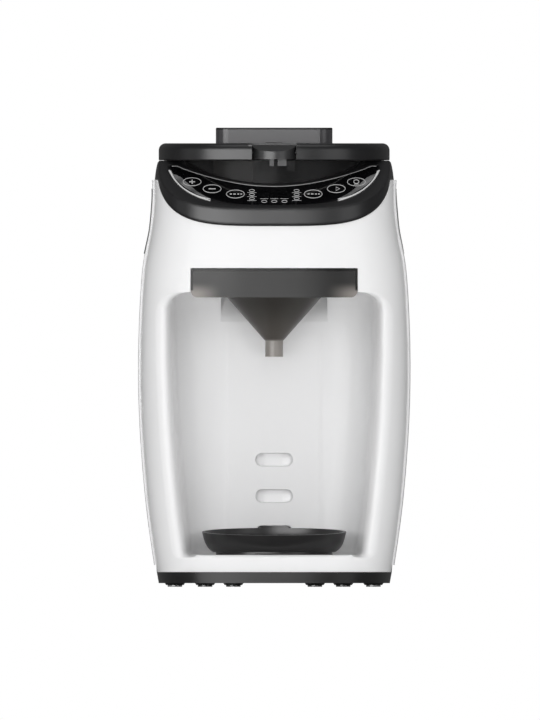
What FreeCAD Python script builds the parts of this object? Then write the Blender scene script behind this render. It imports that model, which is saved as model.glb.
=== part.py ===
import FreeCAD, Part
import os, math

# Countertop machine that mixes infant milk: smoked powder hopper on top,
# water tank at the back, sliding funnel drawer over a bottle bay.
# Frame: +X to the object's left-hand side as seen from the front (right in the view),
# -Y to the front, +Z up; origin on the table under the middle of the bounding box.

V = FreeCAD.Vector
os.makedirs("parts", exist_ok=True)

# ---------------------------------------------------------------- driving dimensions (mm)
HEIGHT = 365.0
Y_FRONT, Y_REAR = -150.0, 148.0
Y_C = -15.0            # plane of the widest section
T = 2.6                # housing wall
Z_FEET, Z_BASE_TOP, Z_PLINTH = 2.9, 11.7, 17.3
Z_SHELL_TOP = 323.4
Z_DECK = 338.9
Y_PART = -62.0         # parting line between front and rear shell
STEP = 1.3             # front shell lies this much inside the rear shell
# panel slope and lower edge of the dark bezel, as z = z0 + k (y - Y_FRONT)
P0, K0 = 300.5, 0.5
P1, K1 = 286.8, 0.62
# bay
BAY_TOP, BAY_FLOOR, BAY_BACK = 237.0, 25.4, -39.0
BAY_W_TOP, BAY_W_BOT = 81.0, 68.0
NOZZLE_Y = -90.0       # axis of funnel, powder outlet and bottle
MIX_Y = -36.0          # axis of dosing wheel and drive gear
# gears
MODULE, N_GEAR, N_PINION = 1.5, 48, 12
# hopper and lid
HOP_W, HOP_D, HOP_YC, HOP_REAR = 87.5, 89.0, -20.0, 55.0
LID_W, LID_REAR, LID_Z0, LID_Z1 = 91.8, 66.4, 339.1, 352.6
HINGE_Y, HINGE_Z = 60.0, 346.2
# tank
TANK_W, TANK_Y0, TANK_Y1 = 46.35, 77.0, 149.6
TANK_C = 112.0

PROFILE = [(2.9, 93.4), (11.7, 94.6), (17.3, 95.4), (27.7, 97.1), (40.4, 98.9), (53.1, 100.6), (65.8, 102.2),
           (78.5, 103.4), (91.3, 104.5), (104, 105.5), (116.7, 106.4), (129.4, 107.1), (142.1, 107.6),
           (154.9, 108.0), (172, 108.2), (193, 108.0), (212, 107.3), (224.8, 106.8), (237.5, 106.0),
           (250.3, 105.1), (258, 104.3), (266, 102.6), (275.7, 100.6), (288, 98.5), (300, 97.2), (312, 96.8),
           (323.4, 97.1), (345, 97.8)]


def W(z):
    """Half width of the white body at height z."""
    p = PROFILE
    if z <= p[0][0]:
        return p[0][1]
    for (a, u), (b, v) in zip(p, p[1:]):
        if z <= b:
            return u + (v - u) * (z - a) / (b - a)
    return p[-1][1]


def YF(z):
    return Y_FRONT + 3.5 * (max(0.0, 170.0 - z) / 158.0) ** 2


def YR(z):
    return Y_REAR - 3.0 * (max(0.0, 170.0 - z) / 158.0) ** 2 - 2.0 * (max(0.0, z - 230.0) / 93.0) ** 2


# ---------------------------------------------------------------- helpers
def box(x0, x1, y0, y1, z0, z1):
    return Part.makeBox(x1 - x0, y1 - y0, z1 - z0, V(x0, y0, z0))


def cyl(r, x, y, z, h, d=(0, 0, 1)):
    return Part.makeCylinder(r, h, V(x, y, z), V(*d))


def ring(r0, r1, x, y, z, h, d=(0, 0, 1)):
    return cyl(r1, x, y, z, h, d).cut(Part.makeCylinder(r0, h + 2, V(x, y, z) - V(*d), V(*d)))


def prism(pts, axis, a, b):
    """Polygon extruded along an axis. For x the points are (y, z), for y (x, z), for z (x, y)."""
    if axis == "x":
        w, d = [V(a, p, q) for p, q in pts], V(b - a, 0, 0)
    elif axis == "y":
        w, d = [V(p, a, q) for p, q in pts], V(0, b - a, 0)
    else:
        w, d = [V(p, q, a) for p, q in pts], V(0, 0, b - a)
    return Part.Face(Part.makePolygon(w + [w[0]])).extrude(d)


def fil(shape, r, test):
    """Fillets the edges whose mid point and direction pass the test; halves the radius if it can't be made."""
    es = []
    for e in shape.Edges:
        a, b = e.ParameterRange
        m = e.valueAt((a + b) / 2)
        t = e.tangentAt((a + b) / 2)
        if test(m, t):
            es.append(e)
    for k in (1.0, 0.8, 0.5, 0.25):
        try:
            s = shape.makeFillet(r * k, es)
            if s.isValid() and s.Volume > 0:
                return s
        except Exception:
            pass
    print("fillet left out", r)
    return shape


def along(axis):
    i = "xyz".index(axis)
    return lambda m, t: abs((t.x, t.y, t.z)[i]) > 0.99


def rbox(x0, x1, y0, y1, z0, z1, r, axis="z"):
    return fil(box(x0, x1, y0, y1, z0, z1), r, along(axis))


def slot_prism(x0, x1, z0, z1, r, y0, y1):
    return rbox(x0, x1, y0, y1, z0, z1, r, "y")


def fuse(*s):
    out = s[0]
    for o in s[1:]:
        out = out.fuse(o)
    return out.removeSplitter()


def solid(s):
    if s.ShapeType == "Compound" and len(s.Solids) == 1:
        return s.Solids[0]
    return s


def se_pts(w, yf, yr, z, nf=4.0, nr=5.0, yc=Y_C, m=14):
    out = []
    for k in range(4 * m):
        a = 2 * math.pi * k / (4 * m)
        c, s = math.cos(a), math.sin(a)
        n = nr if s >= 0 else nf
        d = (yr - yc) if s >= 0 else (yc - yf)
        x = w * math.copysign(abs(c) ** (2 / n), c) if abs(c) > 1e-9 else 0.0
        y = yc + (d * math.copysign(abs(s) ** (2 / n), s) if abs(s) > 1e-9 else 0.0)
        out.append(V(x, y, z))
    return out


_ref = se_pts(100, Y_FRONT, Y_REAR, 0)
_par = [0.0]
for _i in range(len(_ref)):
    _par.append(_par[-1] + (_ref[(_i + 1) % len(_ref)] - _ref[_i]).Length)
_par = [p / _par[-1] for p in _par]


def se_wire(*a, **k):
    b = Part.BSplineCurve()
    b.interpolate(Points=se_pts(*a, **k), PeriodicFlag=True, Parameters=_par)
    return Part.Wire(b.toShape())


def body(inset, z_list):
    """Outer body of the housing, moved in by inset."""
    return Part.makeLoft([se_wire(W(z) - inset, YF(z) + inset, YR(z) - inset, z) for z in z_list], True, False)


ZS = [2.9, 20, 45, 80, 120, 160, 195, 225, 248, 262, 276, 290, 305, 323.4, 345]


def u_wire(w, d, yc, y_rear, rc, z):
    """Outline with a half-elliptic front and a square rear with rounded corners."""
    n = 20
    pts = [V(-w * math.cos(math.pi * k / n), yc - d * math.sin(math.pi * k / n), z) for k in range(n + 1)]
    b = Part.BSplineCurve()
    b.interpolate(Points=pts, InitialTangent=V(0, -1, 0), FinalTangent=V(0, 1, 0))
    q = math.sqrt(0.5)
    e = [b.toShape(),
         Part.makeLine(V(w, yc, z), V(w, y_rear - rc, z)),
         Part.Arc(V(w, y_rear - rc, z), V(w - rc + rc * q, y_rear - rc + rc * q, z), V(w - rc, y_rear, z)).toShape(),
         Part.makeLine(V(w - rc, y_rear, z), V(-w + rc, y_rear, z)),
         Part.Arc(V(-w + rc, y_rear, z), V(-w + rc - rc * q, y_rear - rc + rc * q, z), V(-w, y_rear - rc, z)).toShape(),
         Part.makeLine(V(-w, y_rear - rc, z), V(-w, yc, z))]
    return Part.Wire(e)


def u_solid(w, d, yc, y_rear, rc, z0, z1):
    return Part.Face(u_wire(w, d, yc, y_rear, rc, z0)).extrude(V(0, 0, z1 - z0))


def gear(n, m, z0, z1, x, y, bore, turn=0.0, add=0.95, backlash=0.12):
    """Spur gear with involute flanks; turn in degrees puts a tooth on that bearing."""
    rp = m * n / 2
    rb = rp * math.cos(math.radians(20))
    ra, rf = rp + m * add, rp - 1.25 * m
    half = math.pi / (2 * n) - backlash / 2 / rp
    inv = lambda r: math.tan(math.acos(min(1, rb / r))) - math.acos(min(1, rb / r))
    t0 = inv(rp)
    prof = []
    for k in range(7):
        r = max(rb, rf) + (ra - max(rb, rf)) * k / 6
        prof.append((r, half + t0 - inv(r)))
    pts = []
    for i in range(n):
        c = math.radians(turn) + 2 * math.pi * i / n
        side = [(rf, half + t0 - inv(max(rb, rf)) + (0.02 if rf < rb else 0))] + prof
        for r, a in side:
            pts.append((r, c - a))
        for r, a in reversed(side):
            pts.append((r, c + a))
    p = [(x + r * math.cos(a), y + r * math.sin(a)) for r, a in pts]
    g = prism(p, "z", z0, z1)
    return g.cut(cyl(bore, x, y, z0 - 1, z1 - z0 + 2)) if bore else g


def pipe(pts, r):
    s = None
    for a, b in zip(pts, pts[1:]):
        a, b = V(*a), V(*b)
        c = Part.makeCylinder(r, (b - a).Length, a, b - a)
        s = c if s is None else s.fuse(c)
    for p in pts[1:-1]:
        s = s.fuse(Part.makeSphere(r, V(*p)))
    return s


def screw(x, y, z, length, r=1.45, head=2.9, down=True):
    """Pan-head screw with its head's seat at z; the shank goes up if down is False."""
    s = 1 if down else -1
    shank = cyl(r, x, y, z - (length if down else 0), length)
    h = cyl(head, x, y, z if down else z - 1.6, 1.6)
    h = h.cut(box(x - 2.0, x + 2.0, y - 0.3, y + 0.3, z + (0.9 if down else -1.7), z + (1.7 if down else -0.9)))
    return shank.fuse(h)


def comp(*s):
    out = []
    for o in s:
        out += o.Solids
    return Part.makeCompound(out)


NODES = {}


def put(name, s):
    s = solid(s)
    NODES[name] = s


X0, X1 = -140.0, 140.0
outer = body(0.0, ZS)                       # rear and side shell surface
front_outer = body(STEP, ZS)                # front shell surface

# ---------------------------------------------------------------- front shell with bottle bay
under_bezel = prism([(-200, Z_BASE_TOP), (Y_PART, Z_BASE_TOP), (Y_PART, Z_SHELL_TOP),
                     (Y_FRONT + (Z_SHELL_TOP - P1) / K1, Z_SHELL_TOP), (-200, P1 + K1 * (-200 - Y_FRONT))], "x", X0, X1)
front_region = front_outer.common(under_bezel)
front_in = body(STEP + T, ZS)


def bay(e, y0, r_long, r_back, r_floor):
    """Bottle bay cavity, grown by e."""
    k = (BAY_W_TOP - BAY_W_BOT) / (BAY_TOP - BAY_FLOOR)
    z0, z1 = BAY_FLOOR - e, BAY_TOP + e
    a, b = BAY_W_BOT + e - k * e, BAY_W_TOP + e + k * e
    s = prism([(-a, z0), (a, z0), (b, z1), (-b, z1)], "y", y0, BAY_BACK + e)
    s = fil(s, r_back, lambda m, t: abs(m.y - BAY_BACK - e) < 0.1 and abs(t.z) > 0.9)
    s = fil(s, r_long, lambda m, t: m.z > z1 - 0.1 and abs(t.y) > 0.9)
    s = fil(s, r_floor, lambda m, t: m.z < z0 + 0.1 and abs(t.y) > 0.9)
    return s


cavity = bay(0, -190, 12, 20, 8)
liner = bay(T, -190, 14, 22, 10).common(front_outer.common(box(X0, X1, -200, -20, Z_BASE_TOP, 300)))
niche_block = box(-44.8, 44.8, -39.0, -24.4, 206, 242.6)
niche = prism([(-41, 240), (-27, 240), (-27, 236), (-39.5, 212.5), (-41, 212.5)], "x", -42.2, 42.2)
slots, pockets = [], []
for zc in (101.05, 72.2, 43.3):
    slots.append(slot_prism(-15.05, 15.05, zc - 5.5, zc + 5.5, 4.4, -41, -29.6))
    pockets.append(rbox(-17.4, 17.4, -38, -27.6, zc - 7.8, zc + 7.8, 5.5, "y"))
front_shell = front_region.cut(front_in).fuse([liner, niche_block.common(front_outer)] + pockets)
front_shell = front_shell.cut(cavity)
front_shell = front_shell.cut([niche] + slots)
front_shell = front_shell.cut(box(-66.8, 66.8, -190, -43, 229.0, 253.4))
for sx in (-1, 1):
    b = cyl(4, sx * 76, -112, Z_BASE_TOP, 12).fuse(box(min(sx * 76, sx * 100), max(sx * 76, sx * 100), -114, -110, Z_BASE_TOP, Z_BASE_TOP + 12))
    front_shell = front_shell.fuse(b.common(front_outer)).cut(cyl(1.5, sx * 76, -112, 5, 14))
put("front_shell", front_shell)

# ---------------------------------------------------------------- rear and side shell with tank bay
rear_region = outer.common(box(X0, X1, Y_PART, 200, Z_PLINTH, Z_SHELL_TOP))
rear_in = body(T, ZS)
rear_shell = rear_region.cut(rear_in)
tb = rear_region.common(box(-50.0, 50.0, 73.4, 200, 27.4, Z_SHELL_TOP))
top_plate = rear_region.common(box(X0, X1, 66.0, 200, Z_SHELL_TOP - T, Z_SHELL_TOP))
rear_shell = rear_shell.fuse([tb, top_plate])
rear_shell = rear_shell.cut(box(-47.35, 47.35, 76.0, 200, 30.0, 400))
rear_shell = rear_shell.cut([cyl(14.1, 0, TANK_C, 20, 20), box(53.0, 75.0, 120, 200, 37.0, 53.0)])
for sx in (-1, 1):
    b = cyl(4, sx * 86, 60, Z_PLINTH, 12).fuse(box(min(sx * 86, sx * 110), max(sx * 86, sx * 110), 58, 62, Z_PLINTH, Z_PLINTH + 12))
    rear_shell = rear_shell.fuse(b.common(rear_region)).cut(cyl(1.5, sx * 86, 60, 10, 17))
# finger recess windows in the sides
GRIP_Z = (264.6, 316.7)
for sx in (-1, 1):
    w = rbox(min(sx * 80, sx * 125), max(sx * 80, sx * 125), -20.0, 70.0, GRIP_Z[0], GRIP_Z[1], 20, "x")
    rear_shell = rear_shell.cut(w)
put("rear_shell", rear_shell)

grip_outer = body(-0.7, ZS)
for sx, name in ((-1, "grip_left"), (1, "grip_right")):
    lim = rbox(min(sx * 91.3, sx * 125), max(sx * 91.3, sx * 125), -19.8, 69.8, GRIP_Z[0] + 0.2, GRIP_Z[1] - 0.2, 19.8, "x")
    cup = rbox(min(sx * 93.0, sx * 125), max(sx * 93.0, sx * 125), -16.8, 66.8, GRIP_Z[0] + 3.2, GRIP_Z[1] - 3.2, 16.8, "x")
    put(name, grip_outer.common(lim).cut(cup))

# ---------------------------------------------------------------- base plate and feet
base_loft = Part.makeLoft([se_wire(91.7, -145.4, 141.5, Z_FEET), se_wire(93.3, -146.0, 142.6, Z_BASE_TOP),
                           se_wire(93.7, -146.2, 143.2, Z_PLINTH)], True, True)
base_in = Part.makeLoft([se_wire(89.4, -143.0, 139.0, Z_FEET + 2.6), se_wire(90.7, -143.4, 140.0, Z_BASE_TOP),
                         se_wire(91.1, -143.6, 140.6, Z_PLINTH + 0.5)], True, True)
base = base_loft.cut(base_in)
base = base.cut(box(X0, X1, -200, Y_PART, Z_BASE_TOP, 30))
FEET = [(78.9, -98.0), (54.9, 118.0), (32.4, 30.0)]
SCREWS = [(76, -112), (-76, -112), (86, 60), (-86, 60)]
bosses = [cyl(4, x, y, 5.4, (Z_BASE_TOP if y < 0 else Z_PLINTH) - 5.4) for x, y in SCREWS]
base = base.fuse(bosses)
for x, y in SCREWS:
    base = base.cut([cyl(1.5, x, y, 0, 30), cyl(3.1, x, y, 0, 4.8)])
for i in range(7):
    base = base.cut(rbox(-40 + 0, 40, 40 + i * 7, 43 + i * 7, 2, 6, 1.2, "z") if i not in (5, 6) else box(-1, 1, 300, 301, 0, 1))
put("base_plate", base)
feet, pads = [], []
for fx, fy in FEET:
    for sx in (-1, 1):
        feet.append(Part.makeCone(7.0, 8.03, 1.5, V(sx * fx, fy, 1.4)))
        pads.append(fil(cyl(5.8, sx * fx, fy, 0, 1.4), 0.3, lambda m, t: m.z < 0.1))
put("feet", comp(*feet))
put("foot_pads", comp(*pads))
put("base_screws", comp(*[screw(x, y, 4.8, 9 if y < 0 else 11, 1.45, 2.9, False) for x, y in SCREWS]))

# ---------------------------------------------------------------- dark bezel and deck
bl = [(280, 97.0), (300, 96.4), (312, 95.9), (325.5, 95.0), (332, 94.1), (337.3, 92.9)]
black = Part.makeLoft([se_wire(w - 0.3, Y_FRONT, 90, z) for z, w in bl], True, False)
black2 = Part.makeLoft([se_wire(92.6, Y_FRONT, 90, 337.3), se_wire(91.2, -148.4, 88.6, Z_DECK)], True, True)
black = black.fuse(black2)
DY = Y_FRONT + (Z_DECK - P0) / K0
shape = prism([(-170, P1 + K1 * (-170 - Y_FRONT)), (Y_FRONT + (Z_SHELL_TOP - P1) / K1, Z_SHELL_TOP), (66, Z_SHELL_TOP),
               (66, Z_DECK), (DY, Z_DECK), (-170, P0 + K0 * (-170 - Y_FRONT))], "x", X0, X1)
black = black.common(shape)
well_hole = u_solid(90.6, 92.1, HOP_YC, 58.1, 15, 250, 345)
black = black.cut(well_hole)
# hollow under the sloping panel
blk_in = Part.makeLoft([se_wire(w - 3.2, Y_FRONT + 2.9, 90, z) for z, w in bl], True, False)
under = prism([(-170, 240), (-96, 240), (-96, P0 - 4.0 + K0 * (-96 - Y_FRONT)), (-170, P0 - 4.0 + K0 * (-170 - Y_FRONT))], "x", X0, X1)
blk_pocket = blk_in.common(under).cut(u_solid(93.2, 94.7, HOP_YC, 60.7, 15, 200, 345))
black = black.cut(blk_pocket)


def edge_outer(w, d, n, y_end, m=40, grow=0.0):
    """Points of the glass's outer edge in plan, from the left end round the front to the right end."""
    pts = []
    for k in range(m + 1):
        a = math.pi + math.pi * k / m
        c, s = math.cos(a), math.sin(a)
        x = (w + grow) * math.copysign(abs(c) ** (2 / n), c) if abs(c) > 1e-9 else 0
        y = Y_C - (d + grow) * abs(s) ** (2 / n) if abs(s) > 1e-9 else Y_C
        if y <= y_end:
            pts.append((x, y))
    return pts


INNER = [(-83.2, -80.5), (-78, -82.5), (-72, -86.4), (-57.8, -95.5), (-43.6, -103.4), (-32, -107.7), (-22.3, -110.4), (-11, -113.4), (0, -114.4)]
INNER_ALL = INNER + [(-x, y) for x, y in reversed(INNER[:-1])]
glass_plan = edge_outer(87.5, 128.4, 3.2, -83.0, 60) + list(reversed(INNER_ALL))
panel = lambda a, b: prism([(-170, P0 + a + K0 * (-170 - Y_FRONT)), (-60, P0 + a + K0 * (-60 - Y_FRONT)),
                            (-60, P0 + b + K0 * (-60 - Y_FRONT)), (-170, P0 + b + K0 * (-170 - Y_FRONT))], "x", X0, X1)
glass = prism(glass_plan, "z", 280, 350).common(panel(-2.0, 0.0))
black = black.cut(glass)
# bright strips let into the bezel at the two ends of the glass
def strip(sx):
    a = [p for p in edge_outer(87.5, 128.4, 3.2, -88.0, 90, 0.4) if 50.6 <= sx * p[0] <= 84]
    b = [p for p in edge_outer(87.5, 128.4, 3.2, -88.0, 90, 1.4) if 50.6 <= sx * p[0] <= 84.6]
    return prism(a + list(reversed(b)), "z", 280, 350).common(panel(-1.2, 0.25))
trims = [strip(-1), strip(1)]
black = black.cut([t for t in trims])
put("touch_glass", glass)
put("trim_arcs", comp(*trims))
Y_SPLIT = -66.0
put("control_bezel", black.common(box(X0, X1, -200, Y_SPLIT, 200, 400)))
put("top_deck", black.common(box(X0, X1, Y_SPLIT, 200, 200, 400)))

# display board, key sensors and display under the glass
b_plan = [(x * 0.90, (y + 15) * 0.955 - 15) for x, y in edge_outer(87.5, 128.4, 3.2, -96.0, 60)]
b_in = [(x * 0.92, y - 6.0) for x, y in INNER_ALL if abs(x) < 76]
board = prism(b_plan + list(reversed(b_in)), "z", 270, 350).common(panel(-7.4, -6.0)).common(blk_pocket)
put("display_board", max(board.Solids, key=lambda s: s.Volume))
KEYS = [(-65.2, 182), (-49.3, 188.8), (-30.8, 194), (31.0, 194), (49.4, 188.7), (65.3, 181.9)]
sens = []
for kx, py in KEYS:
    kz = (586.8 - py) * 0.795
    ky = Y_FRONT + (kz - P0) / K0
    sens.append(cyl(3.0, kx, ky, 270, 80).common(panel(-6.0, -4.0)).common(blk_pocket.common(box(X0, X1, -200, -60, 270, 350))))
put("key_sensors", comp(*sens))
put("display_module", box(-14, 14, -134, -118, 270, 340).common(panel(-6.0, -4.0)))

# ---------------------------------------------------------------- hopper well
well = u_solid(90.5, 92.0, HOP_YC, 58.0, 15, 259.0, Z_DECK).cut(u_solid(88.5, 90.0, HOP_YC, 56.0, 13, 261.5, 345))
keep = prism([(-170, 200), (100, 200), (100, Z_DECK), (DY, Z_DECK), (-170, P0 + K0 * (-170 - Y_FRONT))], "x", X0, X1)
well = well.common(keep)
well = well.cut([cyl(11, 0, NOZZLE_Y, 250, 20), cyl(14.0, 0, NOZZLE_Y, 260.5, 3), cyl(7.0, 0, MIX_Y, 250, 20), cyl(3.2, 22, -84, 250, 20)])
put("hopper_well", well)
put("chute_gasket", ring(11, 13.95, 0, NOZZLE_Y, 260.5, 1.0))
put("powder_chute", fuse(ring(11.0, 13.0, 0, NOZZLE_Y, 249.3, 9.7), ring(13.0, 16.0, 0, NOZZLE_Y, 257.5, 1.5)))
put("shaft_bush", fuse(ring(4.05, 6.98, 0, MIX_Y, 258.9, 2.6), ring(4.05, 9.5, 0, MIX_Y, 257.8, 1.2)))

# ---------------------------------------------------------------- powder hopper
hop = u_solid(HOP_W, HOP_D, HOP_YC, HOP_REAR, 12, 261.5, 339.3).cut(u_solid(HOP_W - 2.2, HOP_D - 2.2, HOP_YC, HOP_REAR - 2.2, 10, 264.0, 345))
hop = hop.cut([cyl(9.0, 0, NOZZLE_Y, 250, 20), cyl(9.0, 0, MIX_Y, 250, 20)])
keeper = box(-14.4, 16.6, -111.6, -106.0, 337.2, 338.9)
for ka, kb in ((-14.4, -11.2), (-10.2, -4.1), (0.3, 2.3), (10.3, 16.6)):
    keeper = keeper.fuse(box(ka, kb, -111.4, -106.0, 330.6, 337.4))
lug = prism([(52.8, 331), (55, 331), (55, 339.2), (63, 339.2), (65.5, 342), (65.5, 348), (62, 351.2), (57.5, 351.2),
             (54.8, 347.5), (54.8, 339.3), (52.8, 339.3)], "x", 55, 65)
lugs = []
for sx in (-1, 1):
    l = lug if sx > 0 else lug.mirror(V(0, 0, 0), V(1, 0, 0))
    lugs.append(l.cut(cyl(2.06, -80, HINGE_Y, HINGE_Z, 160, (1, 0, 0))))
hop = hop.fuse([keeper.cut(u_solid(HOP_W - 2.2, HOP_D - 2.2, HOP_YC, HOP_REAR - 2.2, 10, 264.0, 345))] + lugs)
put("powder_hopper", hop)
scr = box(-17, 17, -106.3, -68, 273.0, 274.6).common(u_solid(HOP_W - 2.2, HOP_D - 2.2, HOP_YC, 50, 10, 270, 280))
scr = scr.fuse(box(-6, 6, -106.7, -103.6, 274.6, 290).common(u_solid(HOP_W - 2.2, HOP_D - 2.2, HOP_YC, 50, 10, 270, 300)))
put("scraper_plate", scr)

# ---------------------------------------------------------------- mixing parts on the hopper's hub
dose = cyl(64.3, 0, MIX_Y, 264.6, 7.8)
for k in range(8):
    a = math.radians(-90 + 45 * k)
    dose = dose.cut(cyl(8.3, 54 * math.cos(a), MIX_Y + 54 * math.sin(a), 260, 20))
dose = dose.fuse(cyl(8.9, 0, MIX_Y, 261.9, 13.8))
d_bore = cyl(4.12, 0, MIX_Y, 250, 23.2).common(fuse(box(-10, 10, MIX_Y - 10, MIX_Y + 3.1, 263.3, 280), box(-10, 10, MIX_Y - 10, MIX_Y + 10, 250, 263.3)))
dose = dose.cut(d_bore)
put("dosing_wheel", dose)
mix = cyl(11, 0, MIX_Y, 275.7, 9.0)
for k in range(4):
    a = 45 + 90 * k
    arm = box(0, 58, -2.2, 2.2, 277.0, 281.5).fuse(box(44, 58, -2.2, 2.2, 277.0, 292))
    arm.rotate(V(0, 0, 0), V(0, 0, 1), a)
    arm.translate(V(0, MIX_Y, 0))
    mix = mix.fuse(arm)
mix = mix.fuse(Part.makeCone(8, 4.5, 14, V(0, MIX_Y, 284.7)))
put("mixing_wheel", mix.removeSplitter())

# ---------------------------------------------------------------- drive
GX, GY = 0.0, MIX_Y
PX, PY = 0.0, MIX_Y + MODULE * (N_GEAR + N_PINION) / 2
g = gear(N_GEAR, MODULE, 251.0, 256.6, GX, GY, 4.0, 90.0, 0.8)
put("drive_gear", g.fuse(ring(4.0, 7.5, GX, GY, 256.6, 1.0)))
shaft = cyl(4.0, GX, GY, 250.0, 22.6)
shaft = shaft.cut(box(-6, 6, MIX_Y + 3.0, MIX_Y + 8, 263.0, 280))
put("drive_shaft", shaft)
put("motor_pinion", gear(N_PINION, MODULE, 250.6, 257.0, PX, PY, 3.0, -90.0 + 180.0 / N_PINION))
put("motor_shaft", cyl(3.0, PX, PY, 236.0, 21.6))
gm = cyl(18.5, PX, PY, 222, 24.2).fuse(cyl(16.5, PX, PY, 186, 36)).fuse(cyl(9, PX, PY, 182, 4))
gm = gm.cut(cyl(3.06, PX, PY, 235.0, 20))
put("gear_motor", gm.removeSplitter())
br = rbox(-34, 34, -6, 36, 246.2, 248.4, 5).cut(cyl(9.9, PX, PY, 240, 20))
legs = [(30, 0), (-30, 0), (30, 30), (-30, 30)]
for lx, ly in legs:
    br = br.fuse(cyl(3.6, lx, ly, 248.4, 10.6))
    br = br.cut(cyl(1.5, lx, ly, 240, 30))
put("motor_bracket", br)
put("bracket_screws", comp(*[screw(lx, ly, 246.2, 10, 1.45, 2.9, False) for lx, ly in legs]))

# ---------------------------------------------------------------- lid
def lid_wire(e, z, rc=16.0):
    """Lid outline moved in by e: full front, square rear."""
    w, d, n, m = LID_W - e, 98.0 - e, 2.8, 18
    pts = []
    for k in range(2 * m + 1):
        a = math.pi + math.pi * k / (2 * m)
        c, s = math.cos(a), math.sin(a)
        x = w * math.copysign(abs(c) ** (2 / n), c) if abs(c) > 1e-9 else 0
        y = HOP_YC - (d * abs(s) ** (2 / n) if abs(s) > 1e-9 else 0)
        pts.append(V(x, y, z))
    b = Part.BSplineCurve()
    b.interpolate(Points=pts, InitialTangent=V(0, -1, 0), FinalTangent=V(0, 1, 0))
    yr, q, r = LID_REAR - e, math.sqrt(0.5), max(3.0, rc - e)
    return Part.Wire([b.toShape(), Part.makeLine(V(w, HOP_YC, z), V(w, yr - r, z)),
                      Part.Arc(V(w, yr - r, z), V(w - r + r * q, yr - r + r * q, z), V(w - r, yr, z)).toShape(),
                      Part.makeLine(V(w - r, yr, z), V(-w + r, yr, z)),
                      Part.Arc(V(-w + r, yr, z), V(-w + r - r * q, yr - r + r * q, z), V(-w, yr - r, z)).toShape(),
                      Part.makeLine(V(-w, yr - r, z), V(-w, HOP_YC, z))])


def lid_solid(e, z0, z1):
    return Part.Face(lid_wire(e, z0)).extrude(V(0, 0, z1 - z0))


lid = lid_solid(0, LID_Z0, LID_Z1)
lid = fil(lid, 5.6, lambda m, t: m.z > LID_Z1 - 0.1)
lid = fil(lid, 0.8, lambda m, t: m.z < LID_Z0 + 0.1 and m.y < 40)
lid = lid.cut(lid_solid(3.0, LID_Z0 - 1, 349.4).cut(box(-200, 200, 48, 100, 300, 400)))
lid = lid.cut(box(-88.8, 88.8, 44, 57.5, 330, 339.8))
lid = lid.fuse(fil(box(-6.8, 6.8, -102.6, -78, 351.5, 353.2), 0.5, lambda m, t: m.z > 353.1))
# pocket for the latch in the front edge
pocket_wall = box(-20.4, 20.4, -117, -100.4, LID_Z0 + 0.8, 351.5).common(lid_solid(1.0, LID_Z0, LID_Z1))
lid = lid.fuse(pocket_wall).cut(box(-17.8, 17.8, -130, -103.0, 330, 360))
rear_bar = []
lid = lid.cut([box(54.4, 65.6, 50, 80, 330, 360), box(-65.6, -54.4, 50, 80, 330, 360)])
# round the rear edge about the hinge line
rr = box(-120, 120, HINGE_Y, 80, 330, 346.2).cut(cyl(6.5, -120, HINGE_Y, HINGE_Z, 240, (1, 0, 0)))
lid = lid.cut(rr)
lid = lid.cut(cyl(2.0, -70, HINGE_Y, HINGE_Z, 16.0, (1, 0, 0))).cut(cyl(2.0, 54, HINGE_Y, HINGE_Z, 16.0, (1, 0, 0)))
LATCH_Y, LATCH_Z = -108.4, 345.0
lid = lid.cut(cyl(1.5, -20.0, LATCH_Y, LATCH_Z, 40.0, (1, 0, 0)))
put("hopper_lid", lid)
put("lid_hinge_pins", comp(cyl(2.0, -70, HINGE_Y, HINGE_Z, 16.0, (1, 0, 0)), cyl(2.0, 54, HINGE_Y, HINGE_Z, 16.0, (1, 0, 0))))
notch = [box(54.2, 65.8, 48, 80, 330, 360), box(-65.8, -54.2, 48, 80, 330, 360)]
liner_plate = lid_solid(3.05, 342.4, 344.0).cut([box(-21, 21, -130, -99.8, 330, 360), box(-200, 200, 47.5, 100, 330, 360)] + notch)
put("lid_liner", liner_plate)
seal = u_solid(86.6, 88.1, HOP_YC, 47.4, 12, 339.45, 342.4).cut(u_solid(83.0, 84.5, HOP_YC, 43.6, 10, 330, 350))
seal = seal.cut(box(-21.5, 21.5, -130, -99.8, 330, 360))
put("lid_seal", seal)
# latch: half-round thumb piece with a scooped top and a hook below
latch = cyl(17.4, 0, -105.0, 339.9, 12.5).common(box(-20, 20, -130, -105.2, 300, 400))
latch = latch.cut(prism([(-140, 340.7), (-140, 372), (-95, 372), (-95, 354.2)], "x", -30, 30))
for ha, hb in ((-3.6, -0.2), (2.8, 9.8)):
    latch = latch.fuse([box(ha, hb, -114.4, -112.6, 334.6, 342.0), box(ha, hb, -114.4, -110.6, 334.6, 336.7)])
latch = latch.cut(cyl(1.56, -30, LATCH_Y, LATCH_Z, 60, (1, 0, 0)))
put("lid_latch", latch)
put("latch_pin", cyl(1.5, -20.0, LATCH_Y, LATCH_Z, 40.0, (1, 0, 0)))

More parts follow.
